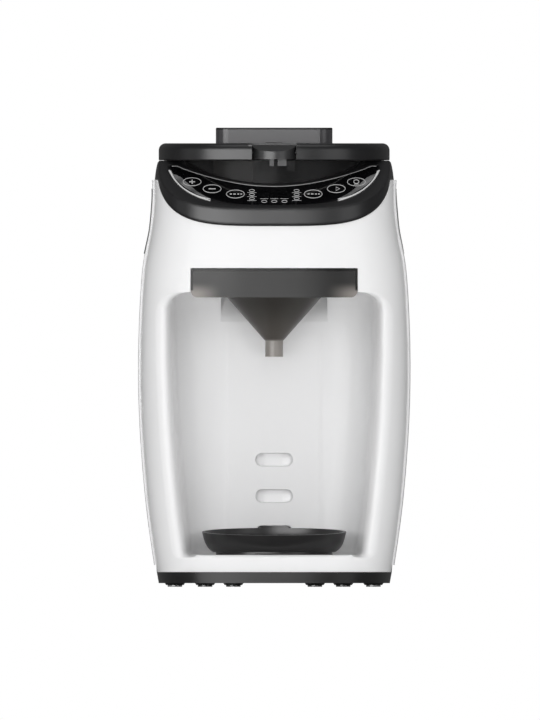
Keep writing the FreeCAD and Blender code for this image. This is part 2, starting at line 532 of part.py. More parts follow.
# ---------------------------------------------------------------- funnel drawer
skin = front_outer.common(rbox(-66.15, 66.15, -170, -115, 230.0, 252.9, 5.2, "y").fuse(box(-66.15, 66.15, -170, -115, 240.0, 252.9)))
front_thin = body(STEP + 2.4, ZS)
panel_front = skin.cut(front_thin)
bx = rbox(-62.8, 62.8, -147.0, -46.0, 230.0, 248.0, 5.0, "y").fuse(box(-62.8, 62.8, -147.0, -46.0, 240.0, 248.0))
bx = bx.common(front_thin.fuse(box(-100, 100, -140, 0, 200, 300)))
inner = box(-60.8, 60.8, -145.0, -48.0, 232.3, 260.0)
drawer = panel_front.fuse(bx).cut(inner.common(front_thin.fuse(box(-100, 100, -120, 0, 200, 300))))
for sx in (-1, 1):
    drawer = drawer.fuse(box(min(sx * 62.0, sx * 65.7), max(sx * 62.0, sx * 65.7), -138, -46, 244.9, 246.9))
drawer = drawer.cut(cyl(37.5, 0, NOZZLE_Y, 220, 20))
put("funnel_drawer", drawer)
prof = [(5.3, 182.9), (7.1, 182.9), (7.1, 195.4), (7.4, 195.8), (37.4, 230), (37.4, 232.3), (41, 232.3), (41, 233.8),
        (35.6, 233.8), (35.6, 230.6), (5.6, 196.2), (5.3, 195.6)]
f = Part.Face(Part.makePolygon([V(r, NOZZLE_Y, z) for r, z in prof + prof[:1]]))
put("funnel_cone", f.revolve(V(0, NOZZLE_Y, 0), V(0, 0, 1), 360))
rails = []
for sx in (-1, 1):
    r = box(min(sx * 63.2, sx * 70), max(sx * 63.2, sx * 70), -134, -44.5, 239.7, 259.0)
    r = r.cut(box(min(sx * 60, sx * 66.1), max(sx * 60, sx * 66.1), -150, -40, 244.6, 247.2))
    rails.append(r)
put("funnel_rails", comp(*rails))

# ---------------------------------------------------------------- bottle tray
TR, TD, TY = 57.45, 52.0, -93.0
def ell(rx, ry, y, z, n=40):
    pts = [V(rx * math.cos(2 * math.pi * k / n), y + ry * math.sin(2 * math.pi * k / n), z) for k in range(n)]
    b = Part.BSplineCurve()
    b.interpolate(Points=pts, PeriodicFlag=True)
    return Part.Wire(b.toShape())
bowl = Part.makeLoft([ell(48.3, 43.2, TY, 27.6), ell(51.0, 46.0, TY, 29.3), ell(53.6, 48.4, TY, 32.4), ell(55.7, 50.3, TY, 37.2),
                      ell(57.0, 51.6, TY, 42.0), ell(57.6, 52.1, TY, 47.5)], True, False)
rim_cut = prism([(-200, 43.85 - 0.0588 * (200 + TY)), (0, 43.85 - 0.0588 * TY), (0, 80), (-200, 80)], "x", -90, 90)
bowl = bowl.cut(rim_cut)
dish = Part.makeLoft([ell(40.0, 35.5, TY, 33.2), ell(48.5, 43.5, TY, 34.4), ell(53.4, 48.2, TY, 38.6), ell(55.2, 49.9, TY, 43.0), ell(56.2, 50.8, TY, 52.0)], True, False)
bowl = bowl.cut(dish)
tab = slot_prism(-14.0, 14.0, 38.4, 48.4, 4.0, -43.6, -31.0)
bowl = bowl.fuse(tab.cut(dish))
put("bottle_tray", bowl)
foot = Part.makeLoft([ell(46.4, 41.5, TY, 25.4), ell(46.4, 41.5, TY, 27.6)], True, True)
foot = foot.cut(box(-14.9, 14.9, -160, -128, 20, 26.5))
put("tray_base", foot)

# ---------------------------------------------------------------- water tank
tank = rbox(-TANK_W, TANK_W, TANK_Y0, TANK_Y1, 31.0, 363.4, 10)
tank = tank.cut(rbox(-TANK_W + 2.2, TANK_W - 2.2, TANK_Y0 + 2.2, TANK_Y1 - 2.2, 34.0, 380, 8))
tank = tank.fuse(cyl(9.0, 0, TANK_C, 24.0, 8.0)).cut(cyl(4.1, 0, TANK_C, 20, 20)).cut(cyl(6.2, 0, TANK_C, 32.5, 10))
put("water_tank", tank)
tl = fil(rbox(-TANK_W, TANK_W, TANK_Y0, TANK_Y1, 363.4, HEIGHT, 10), 1.0, lambda m, t: m.z > HEIGHT - 0.05)
plug = rbox(-43.8, 43.8, TANK_Y0 + 2.6, TANK_Y1 - 2.6, 359.0, 363.4, 7.6).cut(rbox(-42.2, 42.2, TANK_Y0 + 4.2, TANK_Y1 - 4.2, 350, 363.4, 6))
put("tank_lid", fuse(tl, plug))
put("valve_plunger", fuse(cyl(4.04, 0, TANK_C, 22.6, 12.0), cyl(6.0, 0, TANK_C, 32.6, 2.4), cyl(2.0, 0, TANK_C, 35.0, 15.0)))
cage = ring(8.0, 10.0, 0, TANK_C, 34.0, 13.0).fuse(ring(2.06, 10.0, 0, TANK_C, 47.0, 1.6))
for a in (0, 90):
    c = box(-14, 14, -3.5, 3.5, 36.0, 44.0)
    c.rotate(V(0, 0, 0), V(0, 0, 1), a)
    c.translate(V(0, TANK_C, 0))
    cage = cage.cut(c)
put("valve_cage", cage)
put("valve_spring", ring(3.2, 4.4, 0, TANK_C, 35.1, 11.9))
put("float_guide", fuse(cyl(2.6, -32, 96, 34.0, 88.0), cyl(4.2, -32, 96, 122.0, 1.6)))
put("level_float", fil(ring(2.67, 9.0, -32, 96, 34.2, 14.0), 1.5, lambda m, t: (m - V(-32, 96, m.z)).Length > 8.5))

dock = cyl(13.9, 0, TANK_C, 18.6, 11.3).fuse(cyl(18.0, 0, TANK_C, 17.4, 10.0))
dock = dock.cut([cyl(9.3, 0, TANK_C, 20.4, 20), cyl(11.0, 0, TANK_C, 24.6, 1.8)]).fuse(cyl(2.6, 0, TANK_C, 20.0, 2.2))
dock = dock.fuse(cyl(4.2, 0, TANK_C - 17.0, 23.0, 9.0, (0, -1, 0))).cut(cyl(2.6, 0, TANK_C - 8.0, 23.0, 20, (0, -1, 0)))
put("tank_dock", dock)
put("dock_seal", ring(9.08, 10.98, 0, TANK_C, 24.6, 1.8))

# ---------------------------------------------------------------- water path and electrics
pump = cyl(16.5, -42, 46, 39, 40, (1, 0, 0)).fuse(rbox(-2, 24, 28, 63, 22, 56, 5, "x"))
pump = pump.fuse(cyl(3.6, 11, 62, 26.5, 4, (0, 1, 0))).fuse(cyl(4.0, 11, 46, 56, 8))
pump = pump.fuse(box(-36, -6, 40, 52, 5.5, 26)).fuse(box(2, 20, 36, 56, 5.5, 24))
put("water_pump", pump)
put("inlet_hose", pipe([(0, TANK_C - 26.2, 22.6), (0, 78, 22.6), (8, 71, 22.6), (11, 69.6, 26.5), (11, 66.1, 26.5)], 3.2))
heater = rbox(28, 68, 18, 58, 94, 176, 6).fuse([cyl(5, 48, 38, 86, 8), cyl(5, 48, 38, 176, 7)])
for k in range(7):
    heater = heater.cut(box(27, 30, 24, 52, 102 + k * 10, 105 + k * 10))
put("heater_block", heater)
put("thermostat", cyl(8, 68.0, 38, 150, 6, (1, 0, 0)).fuse(cyl(3.5, 74.0, 38, 150, 4, (1, 0, 0))))
put("pressure_hose", pipe([(11, 46, 64.2), (11, 46, 70), (48, 38, 78), (48, 38, 85.8)], 3.9))
put("hot_hose", pipe([(48, 38, 183.2), (48, 38, 228), (54, 20, 254.6), (54, -62, 254.6), (30, -80, 254.6), (27.2, -81.4, 254.6)], 3.0))
noz = cyl(5.5, 22, -84, 250.2, 8.8).fuse(cyl(3.15, 22, -84, 258, 3.4)).cut(cyl(1.8, 22, -84, 245, 12))
noz = noz.cut(pipe([(54, -62, 254.6), (30, -80, 254.6), (27.2, -81.4, 254.6)], 3.02))
put("water_nozzle", noz)
ch = box(-84, 84, -27.2, -25.2, 17.4, 205.0)
ch = ch.fuse([box(-84, -82, -25.2, 54.5, 17.4, 190), box(-84, 84, -25.2, -8, 17.4, 19.4), box(34, 62, -25.2, 18, 118, 120), box(34, 62, -25.2, 18, 152, 154)])
ch = ch.cut([box(-19, 19, -30, -24, z - 9, z + 9) for z in (101.05, 72.2, 43.3)])
for sy, sz in ((-6, 66), (50, 66), (-6, 170), (50, 170)):
    ch = ch.fuse(cyl(3, -82.0, sy, sz, 4.4, (1, 0, 0)))
put("chassis_plate", ch)
pcb = box(-77.6, -76.0, -12, 60, 60, 176)
pcb = pcb.fuse([box(-76.0, -50, 0, 26, 120, 150), cyl(6, -76, 44, 140, 24, (1, 0, 0)), cyl(6, -76, 44, 120, 24, (1, 0, 0)),
                box(-76.0, -62, -6, 14, 76, 96), box(-76, -66, 30, 52, 70, 88)])
put("power_board", pcb)
inl = box(53.05, 74.95, 112, 160, 37.05, 52.95).common(outer).cut(box(55.2, 72.8, 118, 170, 39.2, 50.8))
pins = [cyl(1.2, 64 + dx, 118, 45, 12, (0, 1, 0)) for dx in (-4.2, 4.2)]
put("power_inlet", inl.fuse(pins))

# ---------------------------------------------------------------- export
tot = 0
for name, s in NODES.items():
    ok = s.isValid()
    n = len(s.Solids)
    if n > 1 and name in ("front_shell",):
        for q in s.Solids:
            print("   ", q.Volume, q.BoundBox)
    print(f"{name:18s} solids {n} valid {ok} vol {s.Volume/1000:.1f} cm3 z {s.BoundBox.ZMin:.1f}..{s.BoundBox.ZMax:.1f}")
    s.exportStep("parts/" + name + ".step")
print(len(NODES), "nodes")
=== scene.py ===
import bpy, bmesh, math
import numpy as np
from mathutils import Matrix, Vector


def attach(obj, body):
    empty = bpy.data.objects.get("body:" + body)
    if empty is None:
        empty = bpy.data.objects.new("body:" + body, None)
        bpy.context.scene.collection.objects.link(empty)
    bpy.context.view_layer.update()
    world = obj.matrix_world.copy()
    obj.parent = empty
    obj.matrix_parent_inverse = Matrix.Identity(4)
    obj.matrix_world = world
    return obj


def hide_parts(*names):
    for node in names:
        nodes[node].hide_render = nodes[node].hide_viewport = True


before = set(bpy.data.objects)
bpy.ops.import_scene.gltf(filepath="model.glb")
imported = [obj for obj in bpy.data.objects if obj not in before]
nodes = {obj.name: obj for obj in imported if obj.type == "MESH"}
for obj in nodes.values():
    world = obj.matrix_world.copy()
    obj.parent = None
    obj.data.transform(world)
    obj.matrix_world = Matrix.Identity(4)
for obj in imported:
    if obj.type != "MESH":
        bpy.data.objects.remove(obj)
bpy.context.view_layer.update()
MM = 0.001
SCN = bpy.context.scene

# ------------------------------------------------------------------ the housing's shape (mm), as in the construction
PROFILE = [(2.9, 93.4), (11.7, 94.6), (17.3, 95.4), (27.7, 97.1), (40.4, 98.9), (53.1, 100.6), (65.8, 102.2),
           (78.5, 103.4), (91.3, 104.5), (104, 105.5), (116.7, 106.4), (129.4, 107.1), (142.1, 107.6),
           (154.9, 108.0), (172, 108.2), (193, 108.0), (212, 107.3), (224.8, 106.8), (237.5, 106.0),
           (250.3, 105.1), (258, 104.3), (266, 102.6), (275.7, 100.6), (288, 98.5), (300, 97.2), (312, 96.8),
           (323.4, 97.1), (345, 97.8)]
YC = -15.0
PZ = np.array([p[0] for p in PROFILE]); PW = np.array([p[1] for p in PROFILE])
_zz = np.linspace(0, 345, 700)
_ww = np.interp(_zz, PZ, PW)
_k = np.exp(-0.5 * (np.arange(-30, 31) / 10.0) ** 2); _k /= _k.sum()
_ws = np.convolve(np.pad(_ww, 30, mode="edge"), _k, mode="valid")


def W(z):
    return float(np.interp(z, _zz, _ws))


def YF(z):
    return -150.0 + 3.5 * (max(0.0, 170.0 - z) / 158.0) ** 2


STEP = 1.3


def front_y(x, z):
    w = W(z) - STEP
    d = YC - (YF(z) + STEP)
    t = min(abs(x) / w, 1.0)
    return YC - d * (1 - t ** 4) ** 0.25


def smooth(t):
    t = min(max(t, 0.0), 1.0)
    return t * t * (3 - 2 * t)


# ------------------------------------------------------------------ mesh helpers
def new_obj(name, verts, faces, mat=None, body="base", smooth_shade=True, angle=35, scale=MM):
    me = bpy.data.meshes.new(name)
    me.from_pydata([tuple(c * scale for c in v) for v in verts], [], faces)
    me.validate()
    me.update()
    o = bpy.data.objects.new(name, me)
    SCN.collection.objects.link(o)
    if smooth_shade:
        me.shade_smooth()
        if angle:
            me.set_sharp_from_angle(angle=math.radians(angle))
    if mat:
        me.materials.append(mat)
    if body:
        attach(o, body)
    return o


def apply_mods(o):
    dg = bpy.context.evaluated_depsgraph_get()
    me = bpy.data.meshes.new_from_object(o.evaluated_get(dg))
    o.modifiers.clear()
    o.data = me
    return o


def rounded_box_mesh(x0, x1, y0, y1, z0, z1, r, axis="y", seg=6):
    """Box rounded in the plane across an axis."""
    if axis == "y":
        a0, a1, b0_, b1, c0, c1 = x0, x1, z0, z1, y0, y1
    elif axis == "x":
        a0, a1, b0_, b1, c0, c1 = y0, y1, z0, z1, x0, x1
    else:
        a0, a1, b0_, b1, c0, c1 = x0, x1, y0, y1, z0, z1
    pts = []
    for cx, cy, s in ((a1 - r, b1 - r, 0), (a0 + r, b1 - r, 90), (a0 + r, b0_ + r, 180), (a1 - r, b0_ + r, 270)):
        for k in range(seg + 1):
            t = math.radians(s + 90 * k / seg)
            pts.append((cx + r * math.cos(t), cy + r * math.sin(t)))
    def p3(p, c):
        return (p[0], c, p[1]) if axis == "y" else ((c, p[0], p[1]) if axis == "x" else (p[0], p[1], c))
    n = len(pts)
    v = [p3(p, c0) for p in pts] + [p3(p, c1) for p in pts]
    f = [tuple(range(n)), tuple(range(2 * n - 1, n - 1, -1))]
    for i in range(n):
        j = (i + 1) % n
        f.append((i, i + n, j + n, j))
    return v, f


def temp_obj(v, f):
    me = bpy.data.meshes.new("cutter")
    me.from_pydata([tuple(c * MM for c in p) for p in v], [], f)
    bm = bmesh.new(); bm.from_mesh(me)
    bmesh.ops.recalc_face_normals(bm, faces=bm.faces)
    bm.to_mesh(me); bm.free()
    return bpy.data.objects.new("cutter", me)


def cut(o, cutters):
    for c in cutters:
        SCN.collection.objects.link(c)
        m = o.modifiers.new("cut", "BOOLEAN")
        m.operation = "DIFFERENCE"; m.solver = "EXACT"; m.object = c
    bpy.context.view_layer.update()
    apply_mods(o)
    for c in cutters:
        bpy.data.objects.remove(c)
    return o


def outline(x0, x1, z0, z1, r, seg=8):
    """Rounded rectangle; r is one radius, or the upper and the lower corners' radii."""
    ru, rl = r if isinstance(r, tuple) else (r, r)
    pts = []
    for q, cx, cz, s in ((ru, x1 - ru, z1 - ru, 0), (ru, x0 + ru, z1 - ru, 90), (rl, x0 + rl, z0 + rl, 180), (rl, x1 - rl, z0 + rl, 270)):
        for k in range(seg + 1):
            t = math.radians(s + 90 * k / seg)
            pts.append((cx + q * math.cos(t), cz + q * math.sin(t)))
    return pts


def cut_sheet(o, openings):
    """Cuts rounded rectangles, seen from the front, out of an open sheet: the sheet is split along every
    side of the outline and the faces inside it are dropped."""
    bm = bmesh.new(); bm.from_mesh(o.data)
    for x0, x1, z0, z1, r, y0, y1 in openings:
        P = outline(x0, x1, z0, z1, r)
        n = len(P)
        def near(f):
            for v in f.verts:
                c = v.co / MM
                if x0 - 1 <= c.x <= x1 + 1 and z0 - 1 <= c.z <= z1 + 1 and y0 <= c.y <= y1:
                    return True
            return False
        for i in range(n):
            a, b = P[i], P[(i + 1) % n]
            t = Vector((b[0] - a[0], 0, b[1] - a[1]))
            if t.length < 1e-6:
                continue
            no = Vector((t.z, 0, -t.x)).normalized()
            fs = []
            if i == 0:
                pool = [f for f in bm.faces if near(f)]
            for f in (f for f in pool if f.is_valid):
                xs = [v.co.x / MM for v in f.verts]; zs = [v.co.z / MM for v in f.verts]; ys = [v.co.y / MM for v in f.verts]
                if max(xs) < min(a[0], b[0]) - 0.01 or min(xs) > max(a[0], b[0]) + 0.01 or max(zs) < min(a[1], b[1]) - 0.01 or min(zs) > max(a[1], b[1]) + 0.01:
                    continue
                if max(ys) < y0 or min(ys) > y1:
                    continue
                fs.append(f)
            geom = fs + list({e for f in fs for e in f.edges}) + list({v for f in fs for v in f.verts})
            if geom:
                res = bmesh.ops.bisect_plane(bm, geom=geom, dist=1e-8, plane_co=Vector((a[0] * MM, 0, a[1] * MM)), plane_no=no)
                keep = {f for f in pool if f.is_valid} | {g for g in res["geom"] if isinstance(g, bmesh.types.BMFace)}
                keep |= {f for g in res["geom_cut"] if isinstance(g, bmesh.types.BMEdge) for f in g.link_faces}
                pool = list(keep)
        drop = []
        for f in bm.faces:
            c = f.calc_center_median() / MM
            if not (y0 <= c.y <= y1):
                continue
            inside = True
            for i in range(n):
                a, b = P[i], P[(i + 1) % n]
                if (b[0] - a[0]) * (c.z - a[1]) - (b[1] - a[1]) * (c.x - a[0]) < -1e-7:
                    inside = False
                    break
            if inside:
                drop.append(f)
        bmesh.ops.delete(bm, geom=drop, context="FACES")
    bmesh.ops.remove_doubles(bm, verts=bm.verts, dist=2e-6)
    bm.to_mesh(o.data); bm.free()
    o.data.update()


# ------------------------------------------------------------------ materials
def mat(name, col, rough, metallic=0.0, vary=0.03, rvary=0.05, scale=18.0, coat=0.0, bump=0.0, bscale=900.0, edge=0.0,
        trans=0.0, ior=1.5, alpha=1.0, spec=0.5, col2=None, sheen=0.0):
    m = bpy.data.materials.new(name)
    m.use_nodes = True
    nt = m.node_tree
    p = nt.nodes["Principled BSDF"]
    tc = nt.nodes.new("ShaderNodeTexCoord")
    nz = nt.nodes.new("ShaderNodeTexNoise")
    nz.inputs["Scale"].default_value = scale
    nz.inputs["Detail"].default_value = 4.0
    nt.links.new(tc.outputs["Object"], nz.inputs["Vector"])
    cr = nt.nodes.new("ShaderNodeValToRGB")
    a = [max(0.0, c * (1 - vary)) for c in col]
    b = [min(1.0, c * (1 + vary)) for c in (col2 or col)]
    cr.color_ramp.elements[0].position = 0.3
    cr.color_ramp.elements[1].position = 0.7
    cr.color_ramp.elements[0].color = (*a, 1)
    cr.color_ramp.elements[1].color = (*b, 1)
    nt.links.new(nz.outputs["Fac"], cr.inputs["Fac"])
    nt.links.new(cr.outputs["Color"], p.inputs["Base Color"])
    mr = nt.nodes.new("ShaderNodeMapRange")
    mr.inputs["To Min"].default_value = max(0.0, rough - rvary)
    mr.inputs["To Max"].default_value = min(1.0, rough + rvary)
    nz2 = nt.nodes.new("ShaderNodeTexNoise")
    nz2.inputs["Scale"].default_value = scale * 2.7
    nt.links.new(tc.outputs["Object"], nz2.inputs["Vector"])
    nt.links.new(nz2.outputs["Fac"], mr.inputs["Value"])
    nt.links.new(mr.outputs["Result"], p.inputs["Roughness"])
    p.inputs["Metallic"].default_value = metallic
    p.inputs["IOR"].default_value = ior
    p.inputs["Coat Weight"].default_value = coat
    p.inputs["Coat Roughness"].default_value = 0.06
    p.inputs["Transmission Weight"].default_value = trans
    p.inputs["Specular IOR Level"].default_value = spec
    p.inputs["Alpha"].default_value = alpha
    if bump > 0:
        nb = nt.nodes.new("ShaderNodeTexNoise")
        nb.inputs["Scale"].default_value = bscale
        nb.inputs["Detail"].default_value = 2.0
        nt.links.new(tc.outputs["Object"], nb.inputs["Vector"])
        bp = nt.nodes.new("ShaderNodeBump")
        bp.inputs["Strength"].default_value = bump
        bp.inputs["Distance"].default_value = 0.0002
        nt.links.new(nb.outputs["Fac"], bp.inputs["Height"])
        nt.links.new(bp.outputs["Normal"], p.inputs["Normal"])
    if edge > 0:
        bv = nt.nodes.new("ShaderNodeBevel")
        bv.samples = 6
        bv.inputs["Radius"].default_value = edge
        if bump > 0:
            nt.links.new(bv.outputs["Normal"], bp.inputs["Normal"])
        else:
            nt.links.new(bv.outputs["Normal"], p.inputs["Normal"])
    return m


def smoke(name, col, rough, see, vary=0.06, spec=0.5, coat=0.2):
    """Tinted see-through plastic: part gloss skin, part clear."""
    m = mat(name, col, rough, vary=vary, scale=25.0, coat=coat, spec=spec)
    nt = m.node_tree
    p = nt.nodes["Principled BSDF"]
    out = nt.nodes["Material Output"]
    tr = nt.nodes.new("ShaderNodeBsdfTransparent")
    tr.inputs["Color"].default_value = (0.55, 0.54, 0.53, 1)
    mx = nt.nodes.new("ShaderNodeMixShader")
    mx.inputs[0].default_value = see
    nt.links.new(p.outputs[0], mx.inputs[1])
    nt.links.new(tr.outputs[0], mx.inputs[2])
    nt.links.new(mx.outputs[0], out.inputs["Surface"])
    return m


M = {}
M["white"] = mat("white_gloss", (0.93, 0.93, 0.934), 0.2, vary=0.006, rvary=0.03, scale=9, coat=0.0, spec=0.06)
M["white_in"] = mat("white_inside", (0.90, 0.90, 0.904), 0.35, vary=0.01, rvary=0.05, scale=12, coat=0.0)
M["dark"] = mat("dark_satin", (0.011, 0.011, 0.012), 0.34, vary=0.08, rvary=0.03, scale=30, bump=0.05, bscale=2500, spec=0.5)
M["bezel"] = mat("bezel_satin", (0.012, 0.012, 0.013), 0.36, vary=0.08, rvary=0.03, scale=30, edge=0.0035)
# lit copy of the dark satin: the latch is painted lighter than the lid to offset the shade in the lid's notch, as
# painted light
M["latch"] = mat("latch_satin_painted_light", (0.030, 0.030, 0.031), 0.36, vary=0.08, rvary=0.03, scale=30, bump=0.05, bscale=2500)
M["deck"] = mat("dark_deck", (0.010, 0.010, 0.011), 0.38, vary=0.08, rvary=0.04, scale=30, bump=0.05, bscale=2500)
M["black"] = mat("black_matte", (0.012, 0.012, 0.013), 0.5, vary=0.1, rvary=0.05, scale=40, bump=0.1, bscale=2000)
M["glass"] = mat("black_glass", (0.003, 0.003, 0.0035), 0.06, vary=0.1, rvary=0.01, scale=15, coat=0.5, spec=0.35)
M["print"] = mat("panel_print", (0.62, 0.62, 0.62), 0.5, vary=0.03, rvary=0.05, scale=60)
M["lens"] = mat("grey_lens", (0.10, 0.10, 0.102), 0.3, vary=0.5, rvary=0.05, scale=60, col2=(0.17, 0.17, 0.172))
M["bright"] = mat("bright_trim", (0.80, 0.80, 0.80), 0.35, vary=0.02, rvary=0.03, scale=50, coat=0.3)
M["panel_grey"] = mat("inner_panel_grey", (0.60, 0.60, 0.60), 0.4, vary=0.04, rvary=0.06, scale=30)
M["chrome"] = mat("chrome", (0.86, 0.86, 0.87), 0.12, metallic=1.0, vary=0.02, rvary=0.03, scale=50)
M["steel"] = mat("steel", (0.62, 0.62, 0.63), 0.28, metallic=1.0, vary=0.04, rvary=0.08, scale=120)
M["zinc"] = mat("zinc", (0.48, 0.49, 0.50), 0.45, metallic=0.8, vary=0.08, rvary=0.1, scale=80)
M["pcb"] = mat("board_green", (0.02, 0.14, 0.06), 0.4, vary=0.2, rvary=0.08, scale=200)
M["grey"] = mat("grey_plastic", (0.33, 0.34, 0.35), 0.45, vary=0.04, rvary=0.06, scale=40, bump=0.05)
M["cream"] = mat("acetal", (0.74, 0.72, 0.66), 0.4, vary=0.03, rvary=0.06, scale=40)
M["silicone"] = mat("silicone", (0.6, 0.6, 0.58), 0.5, vary=0.04, rvary=0.06, scale=40)
M["alu"] = mat("cast_aluminium", (0.56, 0.57, 0.58), 0.4, metallic=0.9, vary=0.08, rvary=0.1, scale=150, bump=0.15)
# partly the clear pads' own grey tone, partly painted glints: the base colour is raised and speckled bright
M["pad"] = mat("clear_pad", (0.30, 0.30, 0.30), 0.12, vary=0.3, rvary=0.05, scale=300, coat=0.5)
M["rubber"] = mat("foot_rubber", (0.010, 0.010, 0.010), 0.45, vary=0.1, rvary=0.05, scale=80)
M["smoke"] = smoke("smoked_hopper", (0.040, 0.040, 0.041), 0.22, 0.62, spec=0.12, coat=0.0)
M["drawer"] = smoke("smoked_drawer_painted_light", (0.030, 0.0295, 0.029), 0.34, 0.20, spec=0.35, coat=0.0)
M["cone"] = smoke("smoked_cone_painted_light", (0.060, 0.055, 0.050), 0.30, 0.30, spec=0.4, coat=0.0)


def add_masks(m, masks):
    """Mixes further colours into a material's base colour. Each mask is (colour, steps); a step is
    (axis, absolute, from, to), rising smoothly from 0 to 1 between the two object coordinates (m)."""
    nt = m.node_tree
    p = nt.nodes["Principled BSDF"]
    tc = nt.nodes.new("ShaderNodeTexCoord")
    sp = nt.nodes.new("ShaderNodeSeparateXYZ")
    nt.links.new(tc.outputs["Object"], sp.inputs[0])
    src = p.inputs["Base Color"].links[0].from_socket
    for col, steps in masks:
        fac = None
        for ax, ab, a, b in steps:
            v = sp.outputs[ax]
            if ab:
                q = nt.nodes.new("ShaderNodeMath"); q.operation = "ABSOLUTE"
                nt.links.new(v, q.inputs[0]); v = q.outputs[0]
            r = nt.nodes.new("ShaderNodeMapRange")
            r.interpolation_type = "SMOOTHSTEP"
            lo, hi = (a, b) if a < b else (b, a)
            r.inputs["From Min"].default_value = lo
            r.inputs["From Max"].default_value = hi
            r.inputs["To Min"].default_value = 0.0 if a < b else 1.0
            r.inputs["To Max"].default_value = 1.0 if a < b else 0.0
            nt.links.new(v, r.inputs["Value"])
            if fac is None:
                fac = r.outputs["Result"]
            else:
                q = nt.nodes.new("ShaderNodeMath"); q.operation = "MULTIPLY"
                nt.links.new(fac, q.inputs[0]); nt.links.new(r.outputs["Result"], q.inputs[1])
                fac = q.outputs[0]
        x = nt.nodes.new("ShaderNodeMixRGB")
        x.inputs[2].default_value = (*col, 1)
        nt.links.new(fac, x.inputs[0]); nt.links.new(src, x.inputs[1])
        src = x.outputs[0]
    nt.links.new(src, p.inputs["Base Color"])


# painted light on the drawer's clear wall: a warm painted glow in its lower corners, and painted shade darkening its
# rim and its ends
add_masks(M["drawer"], [((0.30, 0.275, 0.255), [("X", True, 0.040, 0.066), ("Z", False, 0.2425, 0.2325)]),
                        ((0.004, 0.004, 0.004), [("X", True, 0.0638, 0.0652), ("Z", False, 0.2350, 0.2362)]),
                        ((0.004, 0.004, 0.004), [("Z", False, 0.2502, 0.2516)])])
# painted light on the cone: painted shading that turns lighter and warmer towards the bottom, and a painted highlight
# band round the spout
add_masks(M["cone"], [((0.115, 0.105, 0.095), [("Z", False, 0.226, 0.198)]),
                      ((0.40, 0.375, 0.35), [("Z", False, 0.1972, 0.1948)])])
M["tank"] = smoke("smoked_tank", (0.070, 0.068, 0.074), 0.32, 0.08)
M["tray"] = mat("tray_dark", (0.013, 0.0125, 0.013), 0.33, vary=0.06, rvary=0.03, scale=30, bump=0.06, bscale=2200)

LOOK = dict(rear_shell="white", grip_left="black", grip_right="black", base_plate="dark", feet="rubber", foot_pads="pad",
            base_screws="steel", touch_glass="glass", trim_arcs="bright", control_bezel="bezel", top_deck="deck",
            display_board="pcb", key_sensors="steel", display_module="grey", hopper_well="black", chute_gasket="silicone",
            powder_chute="grey", shaft_bush="steel", powder_hopper="smoke", scraper_plate="black", dosing_wheel="cream",
            mixing_wheel="grey", drive_gear="cream", drive_shaft="steel", motor_pinion="cream", motor_shaft="steel",
            gear_motor="zinc", motor_bracket="zinc", bracket_screws="steel", hopper_lid="dark", lid_hinge_pins="steel",
            lid_liner="black", lid_seal="silicone", lid_latch="latch", latch_pin="black", funnel_drawer="drawer",
            funnel_cone="cone", funnel_rails="grey", bottle_tray="tray", tray_base="tray", water_tank="tank",
            tank_lid="dark", valve_plunger="grey", valve_cage="grey", valve_spring="steel", float_guide="grey",
            level_float="cream", tank_dock="grey", dock_seal="silicone", water_pump="black", inlet_hose="silicone",
            heater_block="alu", thermostat="steel", pressure_hose="silicone", hot_hose="silicone", water_nozzle="steel",
            chassis_plate="zinc", power_board="pcb", power_inlet="black", front_shell="white")
for n, k in LOOK.items():
    o = nodes[n]
    o.data.materials.clear()
    o.data.materials.append(M[k])
    o.data.shade_smooth()
    o.data.set_sharp_from_angle(angle=math.radians(28))

# ------------------------------------------------------------------ front shell with its soft bay, as one swept skin
P1, K1 = 286.8, 0.62
BACK = -39.0


def xe(z):
    """Half width of the bay's opening."""
    return float(np.interp(z, [20, 25, 60, 100, 132, 180, 222], [70.5, 71, 75.5, 79.5, 82, 84, 84.5]))


rows = []      # (z outside, z inside, y inside or None for the front face, corner inset, fade)
def lerp(a, b, t): return a + (b - a) * t
FLOOR = 25.35
for z in np.linspace(11.7, 21.6, 6):
    rows.append(dict(zo=z, zi=z, kind="front"))
for k in range(1, 8):                      # lower lip, rolling into the floor
    a = math.pi / 2 * k / 7
    rows.append(dict(zo=21.6 + 0.9 * k / 7, zi=21.6 + (FLOOR - 21.6) * math.sin(a), off=5.0 * (1 - math.cos(a)), kind="off"))
for k in range(1, 9):
    t = k / 8
    rows.append(dict(zo=22.5 + 2.4 * t, zi=FLOOR, kind="abs", t=t))
for k in range(1, 9):                      # floor to back wall
    a = math.pi / 2 * k / 8
    rows.append(dict(zo=24.9 + 8.6 * k / 8, zi=FLOOR + 8 * (1 - math.cos(a)), y=BACK - 8 + 8 * math.sin(a), kind="y"))
for z in np.linspace(33.5, 214, 72)[1:]:
    rows.append(dict(zo=z, zi=33.5 + (z - 33.5) * (220 - 33.5) / (214 - 33.5), y=BACK, kind="y"))
for k in range(1, 13):                     # back wall to ceiling
    a = math.pi / 2 * k / 12
    rows.append(dict(zo=214 + 14 * k / 12, zi=220 + 14 * math.sin(a), y=BACK - 14 * (1 - math.cos(a)), kind="y"))
for k in range(1, 9):
    t = k / 8
    rows.append(dict(zo=228 + 6.0 * t, zi=234 + 1.5 * t, kind="ceil", t=t))
for k in range(1, 9):                      # upper lip
    a = math.pi / 2 * k / 8
    rows.append(dict(zo=234 + 7.0 * k / 8, zi=235.5 + 6.5 * (1 - math.cos(a)), off=6.0 * (1 - math.sin(a)), kind="off"))
for s in np.linspace(0, 1, 30)[1:]:
    rows.append(dict(zo=None, s=s, kind="top"))

NA, NB, NC = 44, 30, 40


def inside_y(r, x):
    f = front_y(x, r["zi"])
    if r["kind"] in ("front", "top"):
        return f
    if r["kind"] == "off":
        return f + r["off"]
    if r["kind"] == "abs":
        return lerp(f + 5.0, BACK - 8, r["t"])
    if r["kind"] == "ceil":
        return lerp(BACK - 14, f + 6.0, r["t"])
    return r["y"]


